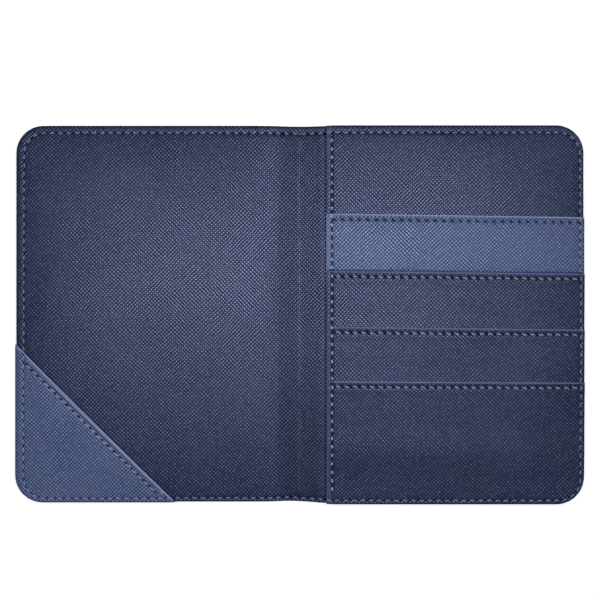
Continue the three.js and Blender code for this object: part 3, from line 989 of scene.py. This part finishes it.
def build_skins(part, side):
    """Cover and lining of one half, each out to the middle of the spine, and its perimeter stitches"""
    plan = make_plan([((-side, 0.0), 0.0)], cut=0)
    board_x = side * (DIP_END + 1)
    board_lines = line_points((board_x, -TOP), (board_x, TOP), np.arange(-1.2, 3.4, 0.35))
    margins = [resample(rectangle(inset), 1.2) for inset in (COVER_MARGIN - 0.2, COVER_MARGIN + 0.2)]
    # The lining gets a painted shadow beside the panel's edge or the corner pocket's hypotenuse
    if side > 0:
        over = (PANEL_EDGE, PANEL_SHADE)
        shade = line_points((PANEL_LEFT, -TOP), (PANEL_LEFT, TOP), SHADE_OFFSETS, 1.0)
    else:
        over = (CORNER_EDGE, CORNER_SHADE)
        ends = (CORNER_LEG - RIGHT, -TOP), (-RIGHT, CORNER_LEG - TOP)
        shade = line_points(*ends, [-gap for gap in SHADE_OFFSETS], 1.0)
    cover = slab(f"outer_cover_{part}_skin", plan, cover_top, cover_bottom, 0.25, 0.5,
                 bottom_seams=[bobbin[part]], lines=margins, bend=True, fine=COVER_STEP, turn=0.004,
                 shift=(3.1, 1.7))
    lining = slab(f"lining_{part}_skin", plan, lining_top, lining_bottom, 0.4, 0.15,
                  top_seams=[perimeter[part]], lines=[board_lines, shade], shade_lines=[over], bend=True)
    upper = stitches(f"perimeter_stitches_{part}", perimeter[part], front_top if side < 0 else stack_top,
                     thread=0.19, lift=0.06, seed=11 + side)
    under = stitches(f"bobbin_stitches_{part}", bobbin[part], lambda x, y: np.full(len(x), BOBBIN_LEVEL),
                     lift=0.0, below=True, seed=21 + side)
    for piece, layer in ((cover, "outer_cover"), (lining, "lining")):
        finish_piece(piece, NAVY, f"{layer}_{part}", f"{layer}_spine")
    for piece, row, material in ((upper, "seam", EDGE_THREAD), (under, "bobbin", THREAD)):
        nodes = [f"{row}_thread_{place}" for place in (part, "spine_top", "spine_bottom")]
        finish_piece(piece, material, *nodes)
    for piece in (cover, lining, upper, under):
        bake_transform(piece)
    board, flat = f"stiffener_{part}", (RIGHT * MM, 2 * TOP * MM)
    recolour(board, BOARD)


def recolour(node, material):
    """Gives a CAD node that stays as it is a material"""
    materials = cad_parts[node].data.materials
    materials.clear()
    materials.append(material)


def rectangle(inset):
    """A rectangle inside the outline, for the inner line of the cover's turned-in margin"""
    x, y = RIGHT - inset, TOP - inset
    return np.array([(-x, -y), (x, -y), (x, y), (-x, y)])


def build_hems(label, node, material, body, width, lines):
    """Sewn margins under a sheet, each along its own stretch of the outline"""
    hems = []
    for side, line in lines.items():
        hem = band(f"{label}_hem_{side}_fold", line, width, hem_bottom, panel_bottom)
        finish_piece(hem, material, f"{node}_hem_{side}", body=body)
        hems.append(hem)
    return hems


def hem_bottom(x, y):
    return LINING_TOP + swell(x, y)


def path_order(line):
    """Order of outline points anticlockwise round the holder"""
    return np.arctan2(line[:, 1] / TOP, line[:, 0] / RIGHT)


def build_panel(seam):
    """Panel over the back half with its three sewn hems"""
    panel = slab("sleeve_panel_sheet", make_plan([PANEL_EDGE]), panel_top, panel_bottom, 0.34, 0.25,
                 top_seams=[perimeter["back"], seam], lines=[mouth_lines(0, SHADE_OFFSETS)],
                 free_planes=[PANEL_EDGE], smooth_highlight_strip=1.7, turn=0.01, shift=(0.3, 0.8))
    finish_piece(panel, NAVY, "sleeve_panel", body="back_half")
    outline = make_plan([PANEL_EDGE], edge_step=1.0)["points"]
    outline = outline[outline[:, 0] > PANEL_LEFT + 0.01]
    straight = TOP - CORNER_RADIUS
    lines = {
        "top": outline[outline[:, 1] >= straight - NEAR_ZERO],
        "right": np.array([(RIGHT, y) for y in np.linspace(-straight, straight, 40)]),
        "bottom": outline[outline[:, 1] <= -straight + NEAR_ZERO],
    }
    lines = {side: line[np.argsort(path_order(line))] for side, line in lines.items()}
    hems = build_hems("sleeve", "sleeve", NAVY, "back_half", SEWN_MARGIN, lines)


def build_corner_pocket():
    """Triangle over the front half's lower corner, with its two sewn hems and its stitching"""
    plan = make_plan([CORNER_EDGE])
    reach = CORNER_LEG - HYPOTENUSE_SEAM * math.sqrt(2) - SEWN_MARGIN
    ends = [(-RIGHT + SEWN_MARGIN, -TOP + reach), (-RIGHT + reach, -TOP + SEWN_MARGIN)]
    seam = make_seam(ends, shown=1.9, hole=1.1, hole_width=0.3, slant=0.42)
    pocket = slab("corner_pocket_sheet", plan, panel_top, panel_bottom, 0.34, 0.25,
                  top_seams=[perimeter["front"], seam], free_planes=[CORNER_EDGE], turn=-0.012,
                  shift=(0.5, 0.2), spread=0.12)
    finish_piece(pocket, LIGHT_BLUE, "corner_pocket", body="front_half")
    straight = TOP - CORNER_RADIUS
    outline = plan["points"]
    outline = outline[holder_depth(*outline.T) < NEAR_ZERO]
    outline = outline[np.argsort(np.mod(path_order(outline), 2 * math.pi))]
    lines = {
        "left": outline[outline[:, 1] >= -straight - NEAR_ZERO][3:],
        "bottom": outline[outline[:, 1] <= -straight + NEAR_ZERO][:-8],
    }
    hems = build_hems("corner", "corner_pocket", LIGHT_BLUE, "front_half", SEWN_MARGIN * HEM_SHARE, lines)
    thread = stitches("corner_pocket_stitches", seam, panel_top, seed=31)
    finish_piece(thread, THREAD, "corner_pocket_thread", body="front_half")


def build_pocket(index, panel_seam):
    """One card pocket's face with its folded mouth and stitching"""
    number = index + 1
    light, lowest = index == 0, number == POCKETS
    mouth = mouth_plane(index)
    planes = [PANEL_EDGE, mouth]
    ends = (PANEL_SEAM_X + MOUTH_SEAM_GAP, RIGHT - SEAM_RIGHT - MOUTH_SEAM_GAP)
    points = [(x, mouth_y(index, x) - MOUTH_SEAM) for x in ends]
    seam = make_seam(points, hole=1.2, hole_width=0.3, slant=-0.4)
    top, bottom = partial(pocket_top, index), partial(pocket_bottom, index)
    levels = (HEM_HEIGHT, RAISED_HEIGHT + RAISED_RUN / 2)
    lines = [mouth_lines(index, STEP_OFFSETS, below) for below in levels]
    if not lowest:
        planes.append(((0.0, -1.0), -POCKET_ENDS[index]))
        lines.append(mouth_lines(number, SHADE_OFFSETS))
    # Only the face under the dark mouth gets a painted shadow, along that mouth
    shade_lines = [(mouth_plane(number), 1.0)] if number == DARK_MOUTH else []
    face = slab(f"card_pocket_{number}_face", make_plan(planes), top, bottom, 0.4, 0.3,
                top_seams=[perimeter["back"], panel_seam, seam], lines=lines, shade_lines=shade_lines,
                free_planes=[mouth, PANEL_EDGE], smooth_highlight_strip=1.5, turn=0.008 * (-1) ** index,
                shift=(0.37 * number, 0.61 * number), spread=0.15 if light else 0.05)
    finish_piece(face, LIGHT_BLUE if light else NAVY, f"card_pocket_{number}", body="back_half")
    thread = stitches(f"pocket_stitches_{number}", seam, top, seed=41 + index)
    finish_piece(thread, BLUE_THREAD if light else THREAD, f"pocket_thread_{number}", body="back_half")


def finish_liners():
    """The slot liners keep their CAD shape, with a woven finish"""
    for number in range(1, POCKETS):
        name = f"pocket_liner_{number}"
        recolour(name, LINER)


for part_name, part_side in SIDES.items():
    build_skins(part_name, part_side)
edge_seam = make_seam([(PANEL_SEAM_X, TOP - SEWN_MARGIN), (PANEL_SEAM_X, -TOP + SEWN_MARGIN)],
                      shown=1.2, hole=1.8, hole_width=0.28, darkness=0.7)
build_panel(edge_seam)
build_corner_pocket()
for pocket_index in range(POCKETS):
    build_pocket(pocket_index, edge_seam)
edge_thread = stitches("panel_edge_stitches", edge_seam, stack_top, thread=0.25, lift=0.22, seed=51)
finish_piece(edge_thread, HIGHLIGHT_THREAD, "panel_edge_thread", body="back_half")
finish_liners()


# ---- floor, light and camera

WHITE = (1.0, 1.0, 1.0, 1.0)
FLOOR_HALF = 20.0
FLOOR_LEVEL = -0.0002
FLOOR_COLOUR = (0.9, 0.9, 0.9, 1.0)
FLOOR_GLOW = 0.5

# The studio's dome: bright near the horizon, fading between two heights
HORIZON_LIGHT = 1.0
ZENITH_LIGHT = 0.03
DOME_FADE = (0.1, 0.5)

# Rectangular lights: name, place, target, size and power
LIGHTS = (
    ("overhead_softbox", (-0.025, 0.048, 0.6), (-0.025, 0.048, 0), (0.34, 0.12), 1.3),
    ("right_card", (0.14, 0.1, 0.6), (0.06, 0.05, 0), (0.2, 0.08), 0.33),
    ("lower_softbox", (-0.05, -0.03, 0.6), (-0.05, -0.03, 0), (0.3, 0.12), 0.37),
    ("front_card", (0.12, -0.09, 0.6), (0.055, -0.045, 0), (0.16, 0.1), 0.12),
    ("left_softbox", (-1, 0.1, 0.9), (0, 0, 0), (0.6, 1.0), 0.45),
    ("right_softbox", (1, 0.1, 0.9), (0, 0, 0), (0.6, 1.0), 0.6),
    ("rear_softbox", (0, 1.2, 0.8), (0, 0, 0), (1.0, 0.5), 0.6),
)

# The camera looks straight down. VIEW_WIDTH is what it sees across at VIEW_LEVEL above the floor.
CAMERA_HEIGHT = 0.45
SENSOR = 36.0
VIEW_WIDTH = 0.2218
VIEW_LEVEL = 0.0035
VIEW_CENTRE = (0.0002, 0.0054)


def build_floor():
    """White acrylic lit from beneath, as under product photographs"""
    nodes = Nodes(bpy.data.materials.new("floor_white"))
    nodes.paint("Base Color", FLOOR_COLOUR)
    nodes.paint("Roughness", 0.9)
    nodes.paint("Emission Color", WHITE)
    nodes.paint("Emission Strength", FLOOR_GLOW)
    mesh = bpy.data.meshes.new("floor")
    corners = [(FLOOR_HALF * x, FLOOR_HALF * y, FLOOR_LEVEL) for x, y in ((-1, -1), (1, -1), (1, 1), (-1, 1))]
    mesh.from_pydata(corners, [], [(0, 1, 2, 3)])
    mesh.materials.append(nodes.owner)
    floor = bpy.data.objects.new("floor", mesh)
    bpy.context.scene.collection.objects.link(floor)


def area_light(name, place, target, size, power):
    data = bpy.data.lights.new(name, "AREA")
    data.shape = "RECTANGLE"
    data.size, data.size_y = size
    data.energy = power
    light = bpy.data.objects.new(name, data)
    light.location = place
    light.rotation_mode = "QUATERNION"
    light.rotation_quaternion = (Vector(target) - Vector(place)).to_track_quat("-Z", "Y")
    bpy.context.scene.collection.objects.link(light)


def build_dome():
    world = bpy.data.worlds.new("studio")
    nodes = Nodes(world, "Background")
    height = nodes.split(nodes.add("ShaderNodeTexCoord").outputs["Generated"])[2]
    nodes.paint("Color", WHITE)
    nodes.paint("Strength", nodes.step(height, *DOME_FADE, HORIZON_LIGHT, ZENITH_LIGHT))
    bpy.context.scene.world = world


def build_camera():
    data = bpy.data.cameras.new("camera")
    data.sensor_width = SENSOR
    data.lens = SENSOR * (CAMERA_HEIGHT - VIEW_LEVEL) / VIEW_WIDTH
    data.clip_start = 0.01
    camera = bpy.data.objects.new("camera", data)
    camera.location = (*VIEW_CENTRE, CAMERA_HEIGHT)
    bpy.context.scene.collection.objects.link(camera)
    bpy.context.scene.camera = camera


build_floor()
build_dome()
for settings in LIGHTS:
    area_light(*settings)
build_camera()
bpy.context.scene.view_settings.view_transform = "Standard"
